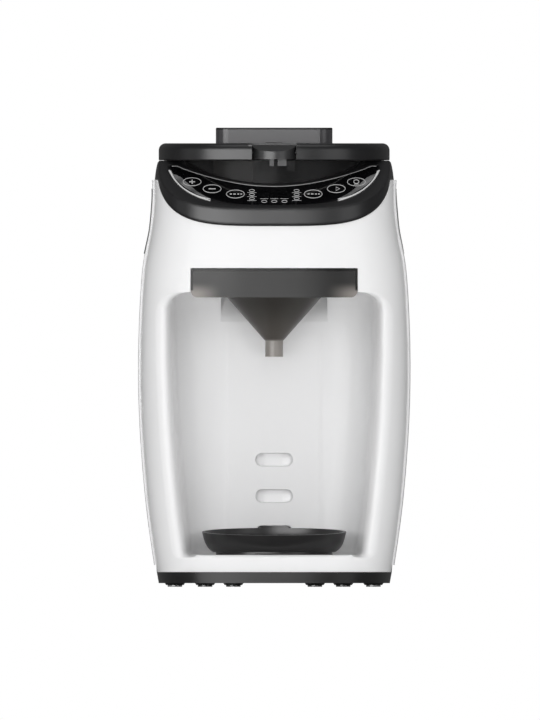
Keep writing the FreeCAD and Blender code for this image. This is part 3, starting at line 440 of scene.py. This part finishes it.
def row_points(r):
    """Left half of one row, from the parting line to the middle."""
    pts = []
    top = r["kind"] == "top"
    zo = r["zo"] if not top else lerp(241.0, 290.0, r["s"])
    zref = zo
    w = W(zref) - STEP
    d = YC - (YF(zref) + STEP)
    # corner rounding near the top of the opening
    e = xe(zref)
    if not top and zref > 216:
        R = 18.0
        q = min(1.0, (zref - 216) / R)
        e = xe(216) - R * (1 - math.sqrt(max(0.0, 1 - q * q)))
    if not top and zref < 31:
        R = 9.0
        q = min(1.0, (31 - zref) / R)
        e = xe(31) - R * (1 - math.sqrt(max(0.0, 1 - q * q)))
    if top:
        e = xe(216) - 18.0
    xa = e + 10.0
    # side part: by angle round the superellipse, evenly spread between the parting line and the bay's edge
    ta = math.asin(min(1, ((YC + 62.0 * 1.0) and ((-YC - 0) * 0 + (YC - (-62.0))) / d) ** 2))
    tb = math.acos(min(1.0, (xa / w)) ** 2)
    for k in range(NA):
        t = ta + (tb - ta) * k / NA
        x = -w * abs(math.cos(t)) ** 0.5
        y = YC - d * abs(math.sin(t)) ** 0.5
        pts.append((x, y, zo))
    if top:
        for k in range(NB + NC + 1):
            t = k / (NB + NC)
            x = -xa * (1 - t)
            pts.append((x, front_y(x, zo), zo))
        out = []
        for x, y, z in pts:
            z1 = min(P1 + K1 * (y + 150.0), 323.4)
            zz = lerp(241.0, z1, r["s"])
            ww = W(zz) - STEP; dd = YC - (YF(zz) + STEP)
            kx = ww / w; ky = dd / d
            out.append((x * kx, YC + (y - YC) * ky, zz))
        return out
    # bay wall: a path with a rounded mouth and a rounded inner corner
    A = np.array([-xa, front_y(xa, zo)])
    C1 = np.array([-e, front_y(e, zo)])
    xw = e - 9.0
    yb = inside_y(r, xw)
    D = max(0.0, yb - C1[1])
    C2 = np.array([-xw, max(yb, C1[1])])
    if D < 0.5:
        C2[1] = yb
    rb = 9.0 + 20.0 * min(1.0, D / 60.0)
    B = np.array([-xw + rb, inside_y(r, xw - rb)])
    u = (C2 - C1); L = max(1e-6, np.linalg.norm(u)); u = u / L
    m1 = C1 + u * min(24.0, 0.40 * L)
    m2 = C2 - u * min(34.0, 0.50 * L)
    path = []
    for k in range(10):
        t = k / 10
        path.append((1 - t) ** 2 * A + 2 * t * (1 - t) * C1 + t * t * m1)
    for k in range(8):
        path.append(lerp(m1, m2, k / 8))
    for k in range(13):
        t = k / 12
        path.append((1 - t) ** 2 * m2 + 2 * t * (1 - t) * C2 + t * t * B)
    n = len(path) - 1
    for k, p in enumerate(path[:NB + 1]):
        z = lerp(zo, r["zi"], smooth(min(1.0, k / (0.62 * n))))
        pts.append((p[0], p[1], z))
    xb = B[0]
    for k in range(1, NC + 1):
        x = xb * (1 - k / NC)
        y = inside_y(r, abs(x))
        if r["kind"] == "y" and 34 < r["zi"] < 205:
            y -= 0.5 * smooth((38.0 - abs(x)) / 1.6) * smooth((r["zi"] - 34) / 12) * smooth((205 - r["zi"]) / 8)
        pts.append((x, y, r["zi"]))
    return pts


grid = []
for r in rows:
    h = row_points(r)
    grid.append(h + [(-x, y, z) for x, y, z in reversed(h[:-1])])
nv, nu = len(grid), len(grid[0])
assert all(len(g) == nu for g in grid), {len(g) for g in grid}
V_ = [p for g in grid for p in g]
F_ = []
for i in range(nv - 1):
    for j in range(nu - 1):
        F_.append((i * nu + j, i * nu + j + 1, (i + 1) * nu + j + 1, (i + 1) * nu + j))
shell = new_obj("front_shell_skin", V_, F_, M["white"], None, True, 0)
OPENINGS = [(-15.0, 15.0, zc - 5.5, zc + 5.5, 5.3, -60, -20) for zc in (101.05, 72.2, 43.3)]
OPENINGS += [(-66.6, 66.6, 230.0, 253.4, (0.9, 5.6), -200, -100), (-63.6, 63.6, 231.0, 253.4, 0.8, -100, -44), (-42.2, 42.2, 211.5, 230.0, 1.2, -60, -20)]
cut_sheet(shell, OPENINGS)
m = shell.modifiers.new("thick", "SOLIDIFY")
m.thickness = 0.0016
m.offset = -1.0
m.use_even_offset = False
m.use_quality_normals = True
apply_mods(shell)
shell.data.shade_smooth()
shell.data.set_sharp_from_angle(angle=math.radians(50))
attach(shell, "base")
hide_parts("front_shell")


def cup(name, x0, x1, z0, z1, y0, y1, r, mat_, body="base", bulge=0.0, top_dark=False):
    """Open-fronted recess behind an opening in the bay's back wall."""
    seg = 8
    out = []
    for cx, cz, s in ((x1 - r, z1 - r, 0), (x0 + r, z1 - r, 90), (x0 + r, z0 + r, 180), (x1 - r, z0 + r, 270)):
        for k in range(seg + 1):
            t = math.radians(s + 90 * k / seg)
            out.append((cx + r * math.cos(t), cz + r * math.sin(t)))
    n = len(out)
    cx, cz = (x0 + x1) / 2, (z0 + z1) / 2
    v, f = [], []
    levels = [(1.0, y0), (1.0, y1 - 4), (0.97, y1 - 2), (0.9, y1 - 0.6), (0.8, y1), (0.4, y1), (0.0, y1)]
    for s, y in levels:
        for x, z in out:
            v.append((cx + (x - cx) * s, y, cz + (z - cz) * s))
    for l in range(len(levels) - 1):
        for i in range(n):
            j = (i + 1) % n
            f.append((l * n + i, l * n + j, (l + 1) * n + j, (l + 1) * n + i))
    o = new_obj(name, v, f, mat_, body, True, 40)
    return o


for i, zc in enumerate((101.05, 72.2, 43.3)):
    cup("bracket_slot_%d" % (i + 1), -15.3, 15.3, zc - 5.8, zc + 5.8, -39.5, -28.5, 5.0, M["white_in"])

prof = [(-39.5, 210.6), (-39.0, 214.0), (-37.4, 218.5), (-34.2, 224.0), (-30.5, 230.0), (-27.5, 238.0)]
v = [(sx * 42.6, y, z) for y, z in prof for sx in (-1, -0.5, 0, 0.5, 1)]
f = [(5 * i + j, 5 * i + j + 1, 5 * i + j + 6, 5 * i + j + 5) for i in range(5) for j in range(4)]
new_obj("niche_slope", v, f, M["white"], "base", True, 0)
for sx in (-1, 1):
    v = [(sx * 42.5, y, z) for y, z in prof] + [(sx * 42.5, -39.3, 238.0)]
    new_obj("niche_side_%s" % ("l" if sx < 0 else "r"), v, [tuple(range(len(v)))], M["white_in"], "base", False)

# ------------------------------------------------------------------ panel graphics: plain shapes only
PXM = 0.795


def px(x, y):
    return (x - 274.1) * PXM, (586.8 - y) * PXM


def panel_pt(X, Z, lift=0.08):
    Y = -150.0 + (Z - 300.5) / 0.5
    n = Vector((0, -0.5, 1.0)).normalized()
    return (X + n.x * lift, Y + n.y * lift, Z + n.z * lift)


def ribbon(name, pts, width, material, closed=False, lift=0.08, body="base", thick=0.12):
    """Flat strip on the sloping panel along points given as seen from the front (mm)."""
    P = [Vector(p) for p in pts]
    n = len(P)
    v, f = [], []
    for i in range(n):
        a = P[(i - 1) % n] if (closed or i > 0) else P[i]
        b = P[(i + 1) % n] if (closed or i < n - 1) else P[i]
        t = (b - a)
        t = t / max(1e-9, t.length)
        nn = Vector((-t.y, t.x))
        for s in (-0.5, 0.5):
            q = P[i] + nn * width * s
            v.append(panel_pt(q.x, q.y, lift))
        for s in (0.5, -0.5):
            q = P[i] + nn * width * s
            v.append(panel_pt(q.x, q.y, lift - thick))
    m_ = n if closed else n - 1
    for i in range(m_):
        j = (i + 1) % n
        for k in range(4):
            l = (k + 1) % 4
            f.append((4 * i + k, 4 * i + l, 4 * j + l, 4 * j + k))
    if not closed:
        f.append((0, 3, 2, 1)); f.append((4 * (n - 1), 4 * (n - 1) + 1, 4 * (n - 1) + 2, 4 * (n - 1) + 3))
    return new_obj(name, v, f, material, body, True, 30)


def spline(pts, n=40):
    """Smooth curve through points given in pixels, returned in mm."""
    P = np.array([px(*p) for p in pts])
    t = np.r_[0, np.cumsum(np.linalg.norm(np.diff(P, axis=0), axis=1))]
    T = np.linspace(0, t[-1], n)
    out = []
    m_ = len(P)
    d = np.gradient(P, t, axis=0)
    for q in T:
        i = min(max(np.searchsorted(t, q) - 1, 0), m_ - 2)
        h = t[i + 1] - t[i]
        s = (q - t[i]) / h
        h00 = 2 * s ** 3 - 3 * s ** 2 + 1; h10 = s ** 3 - 2 * s ** 2 + s
        h01 = -2 * s ** 3 + 3 * s ** 2; h11 = s ** 3 - s ** 2
        out.append(tuple(h00 * P[i] + h10 * h * d[i] + h01 * P[i + 1] + h11 * h * d[i + 1]))
    return out


def mirror_px(pts):
    return [(548.2 - x, y) for x, y in reversed(pts)]


inner_l = [(172.0, 166.2), (176.5, 166.1), (183.6, 168.9), (200, 174.4), (219.3, 179.6), (246.0, 184.6), (274.1, 186.4)]
ribbon("light_line", spline(inner_l + mirror_px(inner_l)[1:], 120), 0.42, M["print"])


def oval(cx, cy, rx, ry, n=36):
    X, Z = px(cx, cy)
    return [(X + rx * PXM * math.cos(2 * math.pi * k / n), Z + ry * PXM * math.sin(2 * math.pi * k / n)) for k in range(n)]


keys = [(192.05, 181.8), (212.1, 188.8), (235.4, 194.06), (313.1, 194.0), (336.2, 188.7), (356.3, 181.9)]
for i, (cx, cy) in enumerate(keys):
    ribbon("key_ring_%d" % (i + 1), oval(cx, cy, 9.0, 4.0), 0.42, M["print"], closed=True)


def seg(name, a, b, w=0.6):
    return ribbon(name, [px(*a), px(*b)], w, M["print"])


seg("mark_plus_h", (189.2, 181.8), (195.0, 181.8), 0.7)
seg("mark_plus_v", (192.05, 179.7), (192.05, 183.9), 0.75)
seg("mark_minus", (208.6, 188.8), (215.6, 188.8), 0.7)
for c, nm in (((235.4, 194.06), "a"), ((313.1, 194.0), "b")):
    for k, (dx, ln) in enumerate(((-5.6, 2.6), (-2.2, 3.2), (1.9, 2.2), (4.9, 2.0))):
        seg("key_dash_%s%d" % (nm, k), (c[0] + dx, c[1]), (c[0] + dx + ln * 0.8, c[1]), 0.75)
ribbon("mark_play", [px(336.0, 186.9), px(339.6, 188.8), px(336.0, 190.6)], 0.5, M["print"], closed=True)
ribbon("mark_drop_ring", oval(356.3, 181.7, 2.6, 1.9, 20), 0.5, M["print"], closed=True)
seg("mark_drop_bar", (354.0, 184.2), (358.6, 184.2), 0.45)
for cx, nm in ((251.85, "l"), (296.6, "r")):
    for k, cy in enumerate((190.6, 194.6, 198.6)):
        ribbon("led_%s%d" % (nm, k), oval(cx, cy, 2.6, 1.1, 20), 0.32, M["print"], closed=True)
        seg("led_bar_%s%d" % (nm, k), (cx - 4.6, cy + 2.0), (cx + 4.6, cy + 2.0), 0.2)
for k, cx in enumerate((264.1, 274.2, 284.4)):
    ribbon("led_m%d" % k, oval(cx, 201.4, 2.6, 1.15, 20), 0.32, M["print"], closed=True)
    seg("led_bar_m%d" % k, (cx - 4.0, 198.7), (cx + 4.0, 198.7), 0.2)

arc_l = [(170.5, 170.8), (173.6, 177.6), (180.2, 185.6), (190.0, 192.3), (200.0, 196.7), (210.4, 199.2)]
ribbon("bright_arc_left", spline(arc_l, 40), 0.62, M["bright"])
ribbon("bright_arc_right", spline(mirror_px(arc_l), 40), 0.62, M["bright"])

# grey lens patches inside the bright arcs
lens_out = [(171.0, 173.2), (178.0, 181.6), (190.0, 190.6), (204.0, 197.2), (210.0, 198.6)]
lens_in = [(171.0, 173.2), (180.5, 177.0), (188.0, 183.5), (198.0, 192.0), (210.0, 198.6)]


def patch(name, a, b, material, lift=0.05):
    A, B = spline(a, 24), spline(b, 24)
    v = [panel_pt(*p, lift) for p in A] + [panel_pt(*p, lift) for p in B]
    f = [(i, i + 1, 24 + i + 1, 24 + i) for i in range(23)]
    return new_obj(name, v, f, material, "base", True, 0)


patch("lens_left", lens_out, lens_in, M["lens"])
patch("lens_right", [(548.2 - x, y) for x, y in lens_out], [(548.2 - x, y) for x, y in lens_in], M["lens"])

v, f = rounded_box_mesh(-48.4, -17.0, -83.6, -82.4, 300.0, 338.6, 1.0, "y", 4)
new_obj("hopper_inner_panel", v, f, M["panel_grey"], "hopper", True, 30)

# ------------------------------------------------------------------ stage, light and camera
fl = bpy.data.meshes.new("floor")
fl.from_pydata([(-6, -6, 0), (6, -6, 0), (6, 6, 0), (-6, 6, 0)], [], [(0, 1, 2, 3)])
floor = bpy.data.objects.new("floor", fl)
SCN.collection.objects.link(floor)
fmat = mat("pale_floor", (0.92, 0.92, 0.92), 0.6, vary=0.01, rvary=0.05, scale=4)
fl.materials.append(fmat)
floor.visible_glossy = False

w = bpy.data.worlds.new("studio")
SCN.world = w
w.use_nodes = True
nt = w.node_tree
nt.nodes.clear()
out = nt.nodes.new("ShaderNodeOutputWorld")
lp = nt.nodes.new("ShaderNodeLightPath")
bg_cam = nt.nodes.new("ShaderNodeBackground"); bg_cam.inputs[0].default_value = (1, 1, 1, 1); bg_cam.inputs[1].default_value = 1.0
bg_dif = nt.nodes.new("ShaderNodeBackground"); bg_dif.inputs[0].default_value = (1, 1, 1, 1); bg_dif.inputs[1].default_value = 0.52
bg_glo = nt.nodes.new("ShaderNodeBackground"); bg_glo.inputs[0].default_value = (1, 1, 1, 1); bg_glo.inputs[1].default_value = 0.12
m1 = nt.nodes.new("ShaderNodeMixShader"); m2 = nt.nodes.new("ShaderNodeMixShader")
nt.links.new(lp.outputs["Is Glossy Ray"], m1.inputs[0])
nt.links.new(bg_dif.outputs[0], m1.inputs[1]); nt.links.new(bg_glo.outputs[0], m1.inputs[2])
nt.links.new(lp.outputs["Is Camera Ray"], m2.inputs[0])
nt.links.new(m1.outputs[0], m2.inputs[1]); nt.links.new(bg_cam.outputs[0], m2.inputs[2])
nt.links.new(m2.outputs[0], out.inputs["Surface"])


def area(name, loc, target, sx, sy, energy, col=(1, 1, 1)):
    l = bpy.data.lights.new(name, "AREA")
    l.shape = "RECTANGLE"; l.size = sx; l.size_y = sy; l.energy = energy; l.color = col
    o = bpy.data.objects.new(name, l)
    o.location = loc
    d = Vector(target) - Vector(loc)
    o.rotation_euler = d.to_track_quat("-Z", "Y").to_euler()
    SCN.collection.objects.link(o)
    return o


k = area("key", (-0.85, -1.86, 0.40), (0, 0, 0.2), 2.0, 1.3, 50)
k.visible_diffuse = False
k = area("front_right", (1.30, -1.5, 0.4), (0, 0, 0.18), 1.2, 1.3, 7.5)
k.visible_diffuse = False
k = area("side_left", (-2.0, -0.3, 0.5), (0, 0, 0.18), 0.8, 1.2, 1.6)
k = area("bay_fill", (0.0, -1.5, 0.13), (0, 0, 0.16), 1.2, 0.22, 4.4)
k.visible_glossy = False
area("top", (0.0, -0.3, 1.9), (0, 0, 0.2), 1.4, 1.0, 5)
sl = bpy.data.lights.new("front_soft", "SUN")
sl.energy = 0.56
sl.angle = math.radians(38)
so = bpy.data.objects.new("front_soft", sl)
so.rotation_euler = Vector((0.04, 1.0, -0.12)).to_track_quat("-Z", "Y").to_euler()
so.visible_glossy = False
SCN.collection.objects.link(so)

cam = bpy.data.cameras.new("cam")
cam.type = "ORTHO"
cam.ortho_scale = 0.5724
co = bpy.data.objects.new("cam", cam)
co.location = (-0.0033, -3.0, 0.1803)
co.rotation_euler = (math.pi / 2, 0, 0)
SCN.collection.objects.link(co)
SCN.camera = co
SCN.view_settings.view_transform = "Standard"
